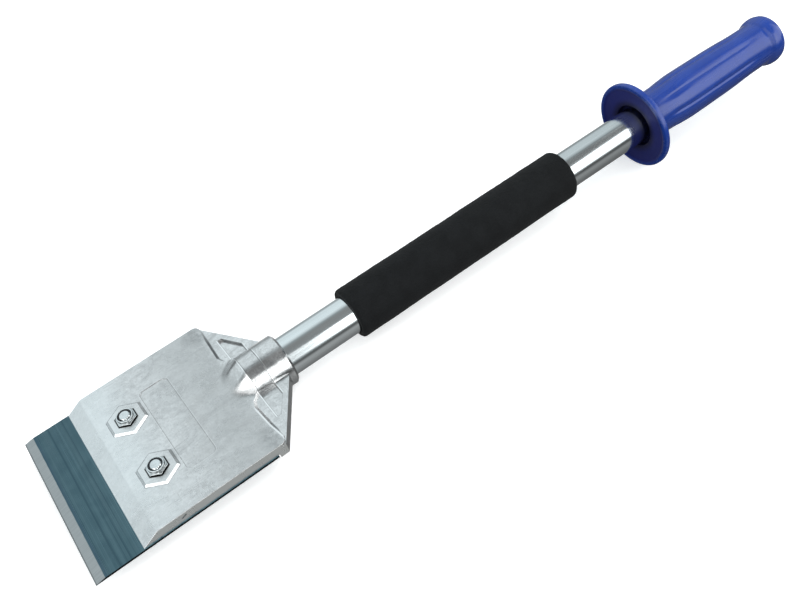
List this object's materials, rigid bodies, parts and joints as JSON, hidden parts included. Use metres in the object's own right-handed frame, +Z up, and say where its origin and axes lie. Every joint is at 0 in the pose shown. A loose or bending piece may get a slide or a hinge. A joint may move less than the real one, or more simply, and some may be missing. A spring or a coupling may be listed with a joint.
{
  "type": "long-handled blade scraper",
  "caption": "Two-handed scraper with a clamped bevelled steel blade, cast head, straight tube handle, foam sleeve and guarded hand grip.",
  "frame": {"origin": "centre of the blade's flat underside, midway between the two clamp screws", "axes": "+X along the handle from the cutting edge to the grip, +Z up on the nut side, cutting edge along Y at the -X end"},
  "size_m": [0.5, 0.1, 0.054],
  "materials": {
    "blade_steel": "blued spring steel, ground bright at the bevel",
    "cast_head": "die-cast, lightly mottled satin",
    "zinc_hardware": "bright zinc plate",
    "dark_nylon": "moulded nylon",
    "plated_tube": "bright plated steel",
    "black_foam": "matt closed-cell foam",
    "blue_vinyl": "glossy moulded vinyl"
  },
  "bodies": {
    "handle": {"head_casting": "cast_head", "blade_nut_left": "zinc_hardware", "blade_nut_right": "zinc_hardware", "lock_ring_left": "dark_nylon", "lock_ring_right": "dark_nylon", "handle_tube": "plated_tube", "tube_fixing_screw": "zinc_hardware", "foam_grip": "black_foam", "hand_grip": "blue_vinyl"},
    "blade": {"blade": "blade_steel"},
    "left_screw": {"blade_screw_left": "zinc_hardware"},
    "right_screw": {"blade_screw_right": "zinc_hardware"}
  },
  "joints": [
    {"name": "blade_slide", "type": "slide", "parent": "handle", "child": "blade", "axis": [-1, 0, 0], "range_m": [0, 0.05]},
    {"name": "left_screw_turn", "type": "hinge", "parent": "handle", "child": "left_screw", "pos_m": [0, 0.019, 0], "axis": [0, 0, 1], "continuous": true},
    {"name": "right_screw_turn", "type": "hinge", "parent": "handle", "child": "right_screw", "pos_m": [0, -0.019, 0], "axis": [0, 0, 1], "continuous": true}
  ]
}
